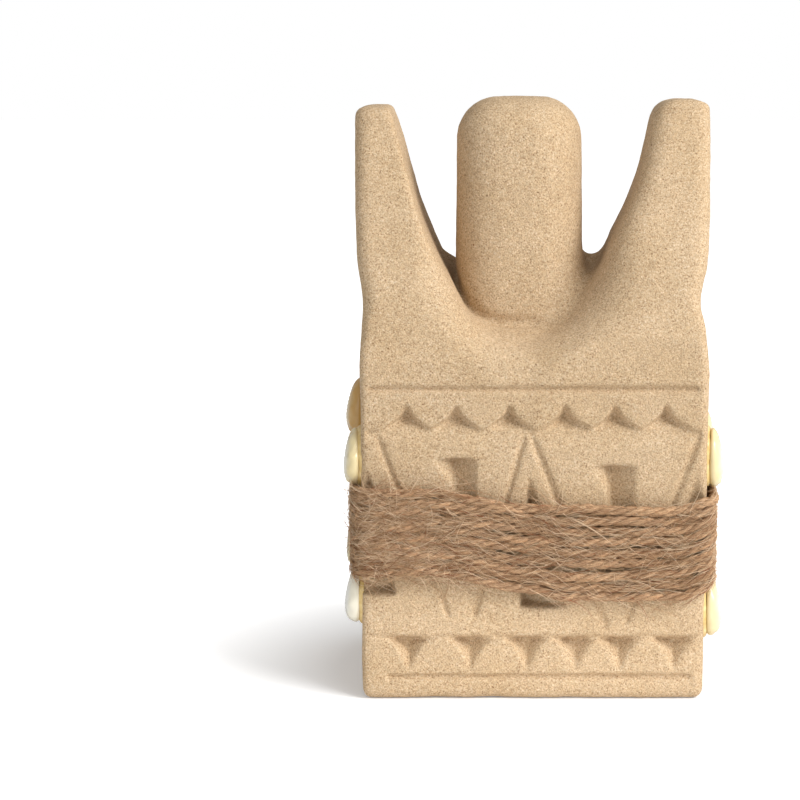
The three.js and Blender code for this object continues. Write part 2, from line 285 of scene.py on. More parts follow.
def surface_net(field, origin, step):
    """Vertices and quads of the zero surface of a sampled field, negative inside."""
    nx, ny, nz = (n - 1 for n in field.shape)
    inside = field < 0
    count = np.zeros((nx, ny, nz), np.uint8)
    for i, j, k in np.ndindex(2, 2, 2):
        count += inside[i : i + nx, j : j + ny, k : k + nz]
    cells = np.argwhere((count > 0) & (count < 8))
    vertices = origin + step * (cells + cell_points(field, cells))
    number = np.full((nx, ny, nz), -1, np.int32)
    number[tuple(cells.T)] = np.arange(len(cells))
    return vertices, net_quads(inside, number)


# ---- stone


def side_edge(side):
    """One side of the silhouette from the base up, as (distance from the middle, z)."""
    base, block, waist, horn = (width[side] for width in (BASE_WIDTH, BLOCK_WIDTH, WAIST_WIDTH, HORN_WIDTH))
    shoulder = [(block - 0.1, BLOCK_TOP_Z - 4), (block, BLOCK_TOP_Z + 3), ((block + waist) / 2, WAIST_Z - 6)]
    flare = [(waist, WAIST_Z), (horn - 1.2, WAIST_Z + 9), (horn - 0.4, WAIST_Z + 20), (horn, WAIST_Z + 40)]
    rise = smooth_curve(shoulder + flare, 60)
    return np.vstack([[(base, 0)], rise])


def width_at(z, side):
    edge = side_edge(side)
    return np.interp(z, edge[:, 1], edge[:, 0])


def horn_tops():
    """Front outline of a slab that ends in the two horns' tops, as (x, z)."""
    return [
        (-50, -20), (50, -20), (50, RIGHT_HORN_TOP_Z), (30.4, RIGHT_HORN_TOP_Z),
        (-35.4, LEFT_HORN_TOP_Z), (-50, LEFT_HORN_TOP_Z),
    ]


def valley():
    """Outline of the space between the horns, down to below the saddle, as (x, z)."""
    left = [(-35.6, LEFT_HORN_TOP_Z + 1), (-32.3, 134.5), (-28.8, 121), (-25.1, 111.3), (-20.6, 102.5)]
    foot = [(-13, 91), (-1.5, 85), (10, 90)]
    right = [(15.8, 103), (19.2, 111.2), (24, 121.5), (27.3, 132), (30.4, RIGHT_HORN_TOP_Z + 1)]
    sides = smooth_curve(left + foot + right, 70)
    return [*sides, (34, RIGHT_HORN_TOP_Z + 30), (-38, RIGHT_HORN_TOP_Z + 30)]


def horn_side_view():
    """Outline of the block and a horn seen from the side, as (y, z)."""
    front = [(-HALF_DEPTH, 84), (-31.4, 89), (-29.8, 94.5), (-27.8, 101), (-24.5, 110), (-20.4, 121)]
    front = smooth_curve(front + [(-16.4, 133), (-12, 147)], 40)
    back = [(8, 147), (9.2, 138), (10.8, 130), (14, 117), (19.6, 105.5), (25, 96.5), (29.6, 90)]
    back = smooth_curve(back + [(31.6, 84), (HALF_DEPTH, 76)], 40)
    return [(-HALF_DEPTH, -20), *front, *back, (HALF_DEPTH, -20)]


def saddle_side_view():
    """Outline of the block and the saddle seen from the side, as (y, z)."""
    foot = RIDGE_Z - SADDLE_SLOPE * (RIDGE_Y + HALF_DEPTH)
    return [
        (-HALF_DEPTH, -20), (-HALF_DEPTH, foot), (-POST_RADIUS, POST_FOOT_Z), (RIDGE_Y, RIDGE_Z),
        (HALF_DEPTH - 2, 90.5), (HALF_DEPTH, 84), (HALF_DEPTH, -20),
    ]


def line_groove(x, z, start, end, depth, half_width):
    """Depth of a V groove that runs from start to end and fades at both."""
    (x0, z0), (x1, z1) = start, end
    length = math.hypot(x1 - x0, z1 - z0)
    ux, uz = (x1 - x0) / length, (z1 - z0) / length
    along = (x - x0) * ux + (z - z0) * uz
    across = np.abs((x - x0) * uz - (z - z0) * ux)
    fade = smooth_step(-0.3, 1.2, along) * smooth_step(-0.3, 1.2, length - along)
    return depth * np.clip(1 - across / half_width, 0, 1) * fade


def top_chip(x, z, apex_x):
    """Depth of one chip of the top band: a pyramid under a pointed arch, between two rounded teeth."""
    t = (TOP_BAND_APEX_Z - z) / (TOP_BAND_APEX_Z - TOP_BAND_FLUSH_Z)
    reach = 0.8 + 5.6 * np.clip(t, 0, 1) ** 1.9
    walls = np.where(x < apex_x, 3.0, 2.3) * (reach - np.abs(x - apex_x))
    floor = 1.1 + 2.9 * np.clip((1 - t) / 0.6, 0, 1)
    return np.where((t > 0) & (t < 1), np.maximum(np.minimum(walls, floor), 0), 0)


def teeth_step(x, z):
    """Depth of the face just under the teeth, which stand a little proud of it."""
    below = TOP_BAND_FLUSH_Z - z
    return np.where((below > 0) & (np.abs(x) < 40.5), 1.0 * (1 - smooth_step(0, 5, below)), 0)


def t_notch(x, z, left, right, slot, top, foot, depth):
    """Depth of a T-shaped chip: an overhung top edge, a wedge to its left and a slot below."""
    below = top - z
    wedge_left = left + (slot - left) * smooth_step(0, 7.5, below)
    wedge = np.clip((x - wedge_left) / np.maximum(slot - wedge_left, 0.5), 0, 1)
    ramp = np.clip((right - x) / (right - slot), 0, 1) ** 0.8
    fade = 1 - 0.2 * smooth_step(0, 20, below)
    shape = np.where(x < slot, 0.75 * wedge**1.3, ramp) * fade
    return np.where((below > 0) & (z > foot), depth * shape, 0)


def ramp_recess(x, z, deep_edge, flush_edge, depth):
    """Depth of a wedge that is deep along one straight edge and flush along the other, as (x, z) pairs."""
    (dx0, dz0), (dx1, dz1) = deep_edge
    (fx0, _), (fx1, _) = flush_edge
    t = (dz0 - z) / (dz0 - dz1)
    deep = dx0 + (dx1 - dx0) * t
    flush = fx0 + (fx1 - fx0) * t
    share = (x - flush) / np.where(np.abs(deep - flush) < 0.2, 0.2 * np.sign(dx1 - fx1), deep - flush)
    inside = (t > 0) & (t < 1) & (share > 0) & (share < 1)
    return np.where(inside, depth * np.clip(share, 0, 1) ** 0.7 * smooth_step(0, 0.35, t), 0)


def carving_depth(x, z):
    """How deep the carved face lies behind the block's front plane, in millimetres."""
    cuts = [
        line_groove(x, z, (-40.4, TOP_GROOVE_Z), (40.4, TOP_GROOVE_Z), 1.8, 0.8),
        line_groove(x, z, (-36.4, BOTTOM_GROOVE_Z), (39.2, BOTTOM_GROOVE_Z), 1.9, 0.75),
        line_groove(x, z, (-42, BOTTOM_BAND_TOP_Z + 0.2), (42, BOTTOM_BAND_TOP_Z + 0.2), 1.0, 0.75),
        line_groove(x, z, (-38.1, 66.5), (-20.4, 20.6), 1.5, 1.0),
        line_groove(x, z, (-1.9, 66.8), (-14.6, 20.8), 1.6, 1.1),
        line_groove(x, z, (-0.7, 66.8), (18.2, 17.8), 1.5, 1.0),
        line_groove(x, z, (40.6, 66.8), (22.4, 18.8), 1.3, 1.0),
        t_notch(x, z, -24.6, -13.4, -19.2, 60.0, 31, 4.4),
        t_notch(x, z, 14.2, 25.0, 18.6, 58.3, 31, 4.2),
        ramp_recess(x, z, ((-1.1, 57.5), (-3.0, 23.4)), ((-0.9, 57.5), (8.4, 23.4)), 5.4),
        ramp_recess(x, z, ((-40.4, 59.0), (-33.7, 26.6)), ((-40.6, 59.0), (-50, 26.6)), 4.6),
        ramp_recess(x, z, ((39.8, 58.0), (34.0, 31.0)), ((40.2, 58.0), (48, 31.0)), 2.8),
        teeth_step(x, z),
    ]
    for apex_x in TOP_BAND_APEX_X:
        cuts.append(top_chip(x, z, apex_x))
    for apex_x in BOTTOM_BAND_APEX_X:
        cuts.append(bottom_chip(x, z, apex_x))
    return softened(np.maximum.reduce(np.broadcast_arrays(*cuts)))


def softened(depth):
    """A height field with its edges worn a little round."""
    for axis in (0, 2):
        before = np.concatenate([depth.take([0], axis), depth.take(range(depth.shape[axis] - 1), axis)], axis)
        after = np.concatenate([depth.take(range(1, depth.shape[axis]), axis), depth.take([-1], axis)], axis)
        depth = 0.25 * before + 0.5 * depth + 0.25 * after
    return depth


def bottom_chip(x, z, apex_x):
    """Depth of one chip of the bottom band: a downward V that is deepest under its top edge."""
    t = np.clip((z - BOTTOM_BAND_APEX_Z) / (BOTTOM_BAND_TOP_Z - BOTTOM_BAND_APEX_Z), 0, 1)
    arch = 2.8 * t**7
    left_wall = 1.7 * (3.6 * t**1.3 + arch + x - apex_x)
    right_wall = 1.15 * (4.4 * t**0.9 + arch - x + apex_x)
    overhang = 6.0 * (BOTTOM_BAND_TOP_Z + 0.2 * np.sin(1.7 * x) - z)
    depth = np.minimum(smooth_min(smooth_min(left_wall, right_wall, 0.8), 4.0, 1.0), overhang)
    return np.where(t > 0, np.maximum(depth, 0), 0)


def wobble(points, seed, amplitude, shortest, longest, waves=14):
    """Smooth seeded unevenness at each point, from sine waves in random directions."""
    draw = np.random.default_rng(seed)
    directions = draw.normal(size=(waves, 3))
    directions /= np.linalg.norm(directions, axis=1)[:, None]
    lengths = draw.uniform(shortest, longest, waves)
    phases = draw.uniform(0, 2 * math.pi, waves)
    total = np.zeros(len(points))
    for direction, length, phase in zip(directions, lengths, phases):
        total += np.sin(points @ direction * (2 * math.pi / length) + phase)
    return amplitude * total / math.sqrt(waves)


def sample_grid():
    """Corner and coordinates of the samples that hold the stone."""
    margin = 2 * VOXEL
    low = np.array([-HORN_WIDTH[LEFT], -HALF_DEPTH, 0]) - margin
    high = np.array([HORN_WIDTH[RIGHT], HALF_DEPTH, POST_TOP_Z]) + margin
    counts = np.ceil((high - low) / VOXEL).astype(int) + 1
    coordinates = []
    for n in range(3):
        line = low[n] + VOXEL * np.arange(counts[n], dtype=np.float32)
        coordinates.append(line.reshape([-1 if n == m else 1 for m in range(3)]))
    return low, coordinates


def block_distance(x, y, z):
    """Signed distance to the block with its two horns and the saddle between them."""
    width = np.where(x < 0, width_at(z, LEFT), width_at(z, RIGHT)).astype(np.float32)
    side = np.abs(x) - (width - EDGE_RADIUS)
    front = np.abs(y) - (HALF_DEPTH - EDGE_RADIUS)
    plan = rounded_corner(side, front, EDGE_RADIUS)

    tops = outline_distance(horn_tops(), x, z)
    gap = -outline_distance(valley(), x, z)
    crisp = 1.6 + 4.4 * smooth_step(-10, 10, x)
    soft = 9.0 + 6.0 * smooth_step(-2, 12, x)
    inner_rounding = soft + (crisp - soft) * smooth_step(98, 118, z)
    horns = smooth_max(plan, outline_distance(horn_side_view(), y, z), 4.5)
    horns = smooth_max(horns, tops, 3.0)
    horns = smooth_max(horns, gap, inner_rounding)
    saddle = smooth_max(plan, outline_distance(saddle_side_view(), y, z), 5.0)
    soft_right = smooth_step(-2, 14, x) * smooth_step(2, -14, y)
    # The blend swells where both distances are the plan's, so the plan clips it.
    return np.maximum(smooth_min(horns, saddle, 4.0 + 9.0 * soft_right), plan)


def post_distance(x, y, z):
    """Signed distance to the round-headed post."""
    power = POST_SQUARENESS
    across = (np.abs(x - POST_X) ** power + np.abs(y) ** power) ** (1 / power)
    rim = across - (POST_RADIUS - POST_ROUNDING) + 0.012 * np.maximum(z - 100, 0)
    crown = z - (POST_TOP_Z - POST_ROUNDING)
    return rounded_corner(rim, crown, POST_ROUNDING)


def stone_surface():
    """Vertices and quads of the carved stone."""
    low, (x, y, z) = sample_grid()
    body = block_distance(x, y, z)
    post = post_distance(x, y, z)
    crease = 0.9 * np.exp(-(body**2 + post**2) / 1.3**2) * smooth_step(6, -4, x)
    body = smooth_min(body, post, 1.0 + 4.5 * smooth_step(-2, 9, x)) + crease
    body = smooth_max(body, -z, FOOT_ROUNDING)
    body = np.maximum(body, carving_depth(x, z) - HALF_DEPTH - y)
    body = np.maximum(body, carving_depth(-x, z) - HALF_DEPTH + y)
    return surface_net(body.astype(np.float32), low, VOXEL)


def make_stone():
    vertices, quads = stone_surface()
    stone = mesh_object("carved_sandstone", vertices, quads)
    normals = np.zeros(len(vertices) * 3, np.float32)
    stone.data.vertices.foreach_get("normal", normals)
    normals = normals.reshape(-1, 3)
    unevenness = wobble(vertices, 11, 0.09, 7, 28) + wobble(vertices, 12, 0.03, 1.8, 4, 20)
    moved = vertices + normals * np.minimum(unevenness, 0.1)[:, None]
    moved[:, 2] = np.maximum(moved[:, 2], 0)
    stone.data.vertices.foreach_set("co", (moved * MM).astype(np.float32).ravel())
    stone.data.update()
    if 2 * len(quads) > MOST_TRIANGLES:
        reduce = stone.modifiers.new("reduce", "DECIMATE")
        reduce.ratio = MOST_TRIANGLES / (2 * len(quads))
        apply_modifiers(stone)
    return stone


def apply_modifiers(obj):
    depsgraph = bpy.context.evaluated_depsgraph_get()
    depsgraph.update()
    mesh = bpy.data.meshes.new_from_object(obj.evaluated_get(depsgraph))
    obj.modifiers.clear()
    obj.data = mesh


# ---- twine


def winding_frame(along):
    """Where the block's plan is at a distance round it: a point inside its rounding and the way out.

    The distance starts at the front left corner and runs along the front to the right. It is
    measured along the middle of the twine.
    """
    left = corner_to_middle()
    right = width_at(TWINE_MIDDLE_Z, RIGHT) - EDGE_RADIUS
    deep = HALF_DEPTH - EDGE_RADIUS
    corners = [(-left, -deep), (right, -deep), (right, deep), (-left, deep)]
    bend = (EDGE_RADIUS + TWINE_DIAMETER / 2) * math.pi / 2
    point = np.zeros((len(along), 2))
    angle = np.zeros(len(along))
    start = 0.0
    along = np.mod(along, winding_length())
    for number, corner in enumerate(corners):
        after = corners[(number + 1) % 4]
        straight = math.dist(corner, after)
        facing = (number - 1) * math.pi / 2
        on_straight = (along >= start) & (along < start + straight)
        share = ((along - start) / straight)[on_straight, None]
        point[on_straight] = (1 - share) * np.array(corner) + share * np.array(after)
        angle[on_straight] = facing
        start += straight
        on_bend = (along >= start) & (along <= start + bend)
        point[on_bend] = after
        angle[on_bend] = facing + (along[on_bend] - start) / bend * math.pi / 2
        start += bend
    return point, np.stack([np.cos(angle), np.sin(angle)], axis=1)


def front_length():
    """Length of the flat part of the front."""
    return width_at(TWINE_MIDDLE_Z, LEFT) + width_at(TWINE_MIDDLE_Z, RIGHT) - 2 * EDGE_RADIUS


def corner_to_middle():
    """Length of the flat part of the front that is left of the middle."""
    return width_at(TWINE_MIDDLE_Z, LEFT) - EDGE_RADIUS


def winding_length():
    """Length of one turn along the middle of the twine."""
    side = 2 * (HALF_DEPTH - EDGE_RADIUS)
    return 2 * (front_length() + side) + 2 * math.pi * (EDGE_RADIUS + TWINE_DIAMETER / 2)


def band_edges(point, out):
    """Bottom and top of the winding where the block's plan has this point and this way out."""
    x = point[:, 0] + EDGE_RADIUS * out[:, 0]
    y = point[:, 1] + EDGE_RADIUS * out[:, 1]
    flat = TWINE_BOTTOM_Z[LEFT] + (TWINE_BOTTOM_Z[RIGHT] - TWINE_BOTTOM_Z[LEFT]) * smooth_step(0, 9, x)
    side = np.where(x < 0, TWINE_SIDE_BOTTOM_Z[LEFT], TWINE_SIDE_BOTTOM_Z[RIGHT])
    bottom = flat + (side - flat) * smooth_step(0, EDGE_RADIUS, HALF_DEPTH - np.abs(y))
    drop = FRONT_SAG * smooth_step(-24, 0, x) * (1 - smooth_step(35, 47, x))
    bottom_drop = drop * (1 - smooth_step(-HALF_DEPTH, EDGE_RADIUS - HALF_DEPTH, y))
    top_drop = drop * (1 - smooth_step(-HALF_DEPTH, TOP_LEVEL_Y, y))
    return bottom - bottom_drop, TWINE_TOP_Z - top_drop


def on_winding(along, off, z):
    """Points at a distance round the block, a distance off its face and a height."""
    point, out = winding_frame(along)
    plan = point + out * (EDGE_RADIUS + off)[:, None]
    return np.column_stack([plan, z])


def as_line(along):
    """Points on a straight line at these lengths, for unevenness that runs with the twine."""
    return np.column_stack([along, np.zeros(len(along)), np.zeros(len(along))])


def twine_middle():
    """Middle of the twine along its whole length, with the length at each point and the way out."""
    step = TWIST_LENGTH / 12
    turn = winding_length()
    start = -LEAD_IN
    end = (TURNS_LEFT_OF_TUCK - 1) * turn + (corner_to_middle() + TUCK_X)
    along = np.linspace(start, end, int((end - start) / step) + 1)
    point, out = winding_frame(along)
    bottom, top = band_edges(point, out)
    lap = np.maximum(np.floor(along / turn), 0)
    within = along - lap * turn
    x = within - corner_to_middle()
    left_share = lap / (TURNS_LEFT_OF_TUCK - 1)
    right_share = lap / (TURNS_RIGHT_OF_TUCK - 1)
    next_share = (lap + 1) / (TURNS_LEFT_OF_TUCK - 1)
    share = left_share + (np.minimum(right_share, 1) - left_share) * smooth_step(-22, -3, x)
    round_share = smooth_step(front_length() + 4, turn, within)
    share = share + (next_share - share) * round_share
    last = lap == TURNS_LEFT_OF_TUCK - 1
    dive = smooth_step(-9, TUCK_X, x) * last
    share = share - 0.085 * dive
    half = TWINE_DIAMETER / 2
    z = bottom + half + share * (top - bottom - 2 * half)
    line = as_line(along)
    z = z + wobble(line, 21, 0.36, 14, 60) + wobble(line, 22, 0.16, 5, 14)
    weave = 0.12 + 0.12 * np.cos(math.pi * along / turn)
    off = half - 0.02 + np.abs(wobble(line, 23, 0.4, 12, 50)) + 0.5 * smooth_step(-24, -8, x) * last
    off = off + weave - 0.9 * smooth_step(-4, TUCK_X, x) * last
    return on_winding(along, np.maximum(off, 0.7), z), along, np.column_stack([out, np.zeros(len(out))])


def line_axes(middle, out):
    """Directions square to a line at each of its points: the nearest to out, and across both."""
    tangent = np.gradient(middle, axis=0)
    tangent /= np.linalg.norm(tangent, axis=1)[:, None]
    outward = out - tangent * np.sum(out * tangent, axis=1)[:, None]
    outward /= np.linalg.norm(outward, axis=1)[:, None]
    return outward, np.cross(outward, tangent)


def tube(middle, radius, out, sides):
    """Vertices and triangles of a closed tube round a line. radius has a value for each point and side."""
    across, up = line_axes(middle, out)
    angle = 2 * math.pi * np.arange(sides) / sides
    ring = across[:, None, :] * np.cos(angle)[None, :, None] + up[:, None, :] * np.sin(angle)[None, :, None]
    vertices = (middle[:, None, :] + ring * radius[:, :, None]).reshape(-1, 3)
    number = np.arange(len(middle) * sides).reshape(len(middle), sides)
    after = np.roll(number, -1, axis=1)
    quads = np.stack([number[:-1], after[:-1], after[1:], number[1:]], axis=2).reshape(-1, 4)
    first, last = number[0], number[-1]
    caps = [(first[0], first[k + 1], first[k]) for k in range(1, sides - 1)]
    caps += [(last[0], last[k], last[k + 1]) for k in range(1, sides - 1)]
    return vertices, np.vstack([triangles(quads), caps])


def make_twine():
    """The whole winding: one twine of three plies, with a fibre direction for the material."""
    middle, along, out = twine_middle()
    outward, up = line_axes(middle, out)
    sides = PLY_SIDES
    fray = smooth_step(0, 5, along[-1] - along) * smooth_step(0, 3, along - along[0])
    line = as_line(along)
    vertices, quads, fibres, tones = [], [], [], []
    for ply in range(3):
        turn = 2 * math.pi * (along / TWIST_LENGTH + ply / 3) + wobble(line, 31, 0.45, 25, 90)
        orbit = PLY_ORBIT * (0.25 + 0.75 * fray)
        ply_middle = middle + orbit[:, None] * (np.cos(turn)[:, None] * outward + np.sin(turn)[:, None] * up)
        angle = 2 * math.pi * np.arange(sides) / sides
        fibre_angle = angle[None, :] + 0.6 * along[:, None]
        ring_line = np.column_stack([
            np.repeat(along, sides) / 3,
            (PLY_RADIUS * np.cos(fibre_angle)).ravel(),
            (PLY_RADIUS * np.sin(fibre_angle)).ravel(),
        ])
        uneven = wobble(ring_line, 41 + ply, 0.05, 0.8, 2.5, 10).reshape(-1, sides)
        thickness = PLY_RADIUS * (1 + wobble(line, 51 + ply, 0.07, 6, 30)) * (0.35 + 0.65 * fray)
        ply_vertices, ply_quads = tube(ply_middle, thickness[:, None] + uneven, outward, sides)
        quads.append(ply_quads + sum(len(done) for done in vertices))
        vertices.append(ply_vertices)
        fibre = ring_line.copy()
        fibre[:, 0] = np.repeat(along, sides) / 9 + 40 * ply
        fibres.append(fibre)
        tones.append(np.repeat(0.5 + wobble(line, 61 + ply, 0.22, 15, 120), sides))
    twine = mesh_object("jute_twine", np.vstack(vertices), np.vstack(quads))
    add_vector_attribute(twine, "fibre", np.vstack(fibres))
    add_attribute(twine, "tone", np.concatenate(tones))
    return twine


def hair(draw, along, share, angle, length, lift, tip):
    """One loose fibre lying on the winding, as points with the way out at each."""
    u = np.linspace(0, 1, HAIR_POINTS)
    curl = draw.normal(0, 0.05) * length
    heading = angle + curl * u + 0.25 * np.sin(u * draw.uniform(3, 9) + draw.uniform(0, 6))
    step = length / (len(u) - 1)
    path = along + np.concatenate([[0], np.cumsum(np.cos(heading[:-1]) * step)])
    point, out = winding_frame(path)
    bottom, top = band_edges(point, out)
    rise = np.concatenate([[0], np.cumsum(np.sin(heading[:-1]) * step)])
    z = bottom[0] + share * (top[0] - bottom[0]) + rise
    z = z + (bottom - bottom[0]) * 0.9
    over = np.clip(np.maximum(bottom - z, z - top), 0, 3) / 3
    off = TWINE_DIAMETER + 0.12 + lift * np.sin(math.pi * u) + tip * u * u - 1.4 * over
    return on_winding(path, off, z), np.column_stack([out, np.zeros(len(out))])


def hair_plan(draw):
    """Start, direction and looseness of every loose fibre."""
    turn = winding_length()
    plan = []
    for _ in range(HUGGING_HAIRS):
        start = draw.uniform(-8, 18) if draw.random() < 0.16 else draw.uniform(0, turn)
        sweep = draw.choice([0, math.pi]) + draw.normal(0, 0.3)
        share, length = draw.uniform(0.0, 1.0), draw.uniform(4, 15)
        plan.append((start, share, sweep, length, abs(draw.normal(0, 0.22)), 0.1))
    for _ in range(LIFTED_HAIRS):
        start = draw.uniform(-10, 22) if draw.random() < 0.35 else draw.uniform(0, turn)
        sweep = draw.uniform(0, 2 * math.pi)
        lift = abs(draw.normal(0.2, 0.4))
        plan.append((start, draw.uniform(0.02, 1.0), sweep, draw.uniform(3, 10), lift, draw.uniform(0, 0.9)))
    for _ in range(STANDING_HAIRS):
        start = draw.uniform(-12, 2) if draw.random() < 0.5 else draw.uniform(0, turn)
        share, sweep = draw.uniform(0.3, 1.0), draw.uniform(0, 2 * math.pi)
        plan.append((start, share, sweep, draw.uniform(3, 7), 0.3, draw.uniform(1.2, 3.2)))
    tuck = corner_to_middle() + TUCK_X
    for _ in range(TUCK_HAIRS):
        sweep = draw.normal(0, 0.5)
        start, share = tuck + draw.normal(-1, 2.2), draw.normal(0.88, 0.035)
        plan.append((start, share, sweep, draw.uniform(2, 7), 0.35, 0.3))
    return plan


def make_loose_fibres():
    """Loose fibres of the jute: short thin tubes on and just off the winding."""
    draw = np.random.default_rng(7)
    vertices, quads, tones = [], [], []
    count = 0

    def add(points, out, radius, tone):
        nonlocal count
        taper = radius * np.array([0.8, 1, 1, 1, 0.9, 0.7, 0.4])[:, None] * np.ones((1, 3))
        made, faces = tube(points, taper, out, 3)
        vertices.append(made)
        quads.append(faces + count)
        tones.append(np.full(len(made), tone))
        count += len(made)

    for start, share, sweep, length, lift, tip in hair_plan(draw):
        points, out = hair(draw, start, share, sweep, length, lift, tip)
        add(points, out, draw.uniform(0.04, 0.085), np.clip(draw.normal(0.36, 0.32), 0, 1))
    corner = corner_to_middle()
    for shift in (-0.12, 0.0, 0.13):
        u = np.linspace(0, 1, HAIR_POINTS)
        along = corner + 8.6 + shift + 12.7 * u
        z = 46.5 - 8.5 * u + 0.9 * np.sin(math.pi * u) + shift * (1 - 2 * u)
        off = TWINE_DIAMETER + 0.35 + 0.3 * np.sin(math.pi * u)
        _, out = winding_frame(along)
        add(on_winding(along, off, z), np.column_stack([out, np.zeros(HAIR_POINTS)]), 0.07, 0.05)
    fibres = mesh_object("loose_fibres", np.vstack(vertices), np.vstack(quads))
    add_attribute(fibres, "tone", np.concatenate(tones))
    return fibres


# ---- shells and glue


def cowrie_outline(angle, seed):
    """Egg-shaped outline with a knobby margin, as shares of the half width and half length."""
    draw = np.random.default_rng(seed)
    places = draw.uniform(0, 2 * math.pi, KNOBS)
    sizes = draw.uniform(-0.05, 0.06, KNOBS)
    spreads = draw.uniform(0.12, 0.3, KNOBS)
    knobs = 0
    for at, size, spread in zip(places, sizes, spreads):
        away = np.mod(angle - at + math.pi, 2 * math.pi) - math.pi
        knobs = knobs + size * np.exp(-((away / spread) ** 2))
    egg = 1 - 0.07 * np.sin(angle) - 0.05 * np.cos(2 * angle)
    return np.cos(angle) * egg * (1 + knobs), np.sin(angle) * (1 + 0.6 * knobs)


def cowrie_surface(half_width, half_length, height, seed):
    """Rings of points from the middle of the face to the foot: across, along and out, with rim shares and
    shares of painted shade for the slit and between the teeth.
    """
    angle = 2 * math.pi * np.arange(SHELL_SPOKES) / SHELL_SPOKES
    across, along = cowrie_outline(angle, seed)
    face = [(0, 1), (0.3, 0.985), (0.55, 0.94), (0.74, 0.85), (0.89, 0.68)]
    margin = [(0.98, 0.44), (1.0, 0.25), (0.96, 0.08), (0.88, 0.0)]
    section = smooth_curve(face + margin, SHELL_RINGS)
    share, rise = section[:, 0][:, None], section[:, 1][:, None]
    u = half_width * share * across
    v = half_length * share * along
    w = height * rise * np.ones_like(u)
    middle = 0.35 * np.sin(v / half_length * 2.2) - 0.1
    near = np.abs(u - middle)
    open_length = smooth_step(1.0, 0.8, np.abs(v) / half_length)
    slit_width = 0.34 + 0.16 * smooth_step(0, -half_length, v)
    slit = np.exp(-((near / slit_width) ** 2))
    teeth = (0.5 + 0.5 * np.cos(2 * math.pi * v / 1.05)) * np.exp(-(((near - 0.95) / 0.75) ** 2))
    w = w - open_length * (1.35 * slit + 0.24 * teeth) * (share < 0.95)
    lips = 0.3 * np.exp(-(((near - 1.5) / 0.9) ** 2)) * open_length
    w = w + lips * (share < 0.9)
    thinner = 1 - 0.3 * smooth_step(-0.5, 1.0, v / half_length)
    bump = 1 + 0.07 * np.sin(angle * 9 + seed) * np.exp(-(((share - 0.9) / 0.12) ** 2))
    points = np.stack([u, v, w * thinner * bump], axis=2)
    rim = np.broadcast_to(smooth_step(0.45, 1.0, share), u.shape)
    # deep is painted shade: it darkens the slit and the grooves between the teeth, where shade falls.
    deep = open_length * np.clip(slit + 0.5 * teeth, 0, 1)
    return points, rim, deep


def ring_faces(rings, spokes):
    """Quads between rings of points."""
    number = np.arange(rings * spokes).reshape(rings, spokes)
    after = np.roll(number, -1, axis=1)
    return np.stack([number[:-1], number[1:], after[1:], after[:-1]], axis=2).reshape(-1, 4)


def side_axes(side, tilt):
    """Across, up and out for a shell on a side face, turned by some degrees towards a corner."""
    turn = math.radians(-side * tilt)
    out = np.array([side * math.cos(turn), side * math.sin(turn), 0])
    up = np.array([0.0, 0.0, 1.0])
    return np.cross(up, out), up, out


def fan(ring, centre):
    """Triangles from each side of a ring of vertex numbers to a middle vertex."""
    return np.column_stack([ring, np.full(len(ring), centre), np.roll(ring, -1)])


def placed_on_side(points, side, tilt, low, high):
    """Local (across, along, out) points turned onto a side face and fitted to a box, in millimetres."""
    across, up, out = side_axes(side, tilt)
    world = points[..., :1] * across + points[..., 1:2] * up + points[..., 2:] * out
    flat = world.reshape(-1, 3)
    size = flat.max(0) - flat.min(0)
    return (flat - flat.min(0)) / size * (high - low) + low


def shell_names():
    sides, rows, places = ("left", "right"), ("upper", "lower"), ("front", "middle", "back")
    return [f"{side}_{row}_{place}" for side in sides for row in rows for place in places]


def side_of(name):
    return RIGHT if name.startswith("right") else LEFT


def corner_tilt(name):
    return {"front": CORNER_TILT, "middle": 0.0, "back": -CORNER_TILT}[name.split("_")[2]]


def box_mm(node_name):
    low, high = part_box(node_name)
    return np.array(low) / MM, np.array(high) / MM


def stone_face_x(name):
    """Distance from the middle of the face that a shell is glued to."""
    low, high = box_mm(f"glue_{name}")
    return min(abs(low[0]), abs(high[0])) - CONTACT_GAP


def make_shell(name, seed):
    low, high = box_mm(f"cowrie_{name}")
    side = side_of(name)
    foot_x = side * (stone_face_x(name) + 0.25)
    low[0], high[0] = (foot_x, high[0]) if side == RIGHT else (low[0], foot_x)
    size = high - low
    points, rim, deep = cowrie_surface(size[1] / 2, size[2] / 2, size[0], seed)
    rings, spokes = rim.shape
    placed = placed_on_side(points, side, corner_tilt(name), low, high)
    foot = placed[-spokes:].mean(0)
    vertices = np.vstack([placed, foot])
    last = np.arange((rings - 1) * spokes, rings * spokes)
    cap = fan(last, len(vertices) - 1)
    shell = mesh_object(f"shell_{name}", vertices, np.vstack([triangles(ring_faces(rings, spokes)), cap]))
    add_attribute(shell, "rim", np.append(rim.ravel(), 1))
    # The deep share carries painted shade for the slit and the grooves between the teeth.
    add_attribute(shell, "deep", np.append(deep.ravel(), 0))
    return shell


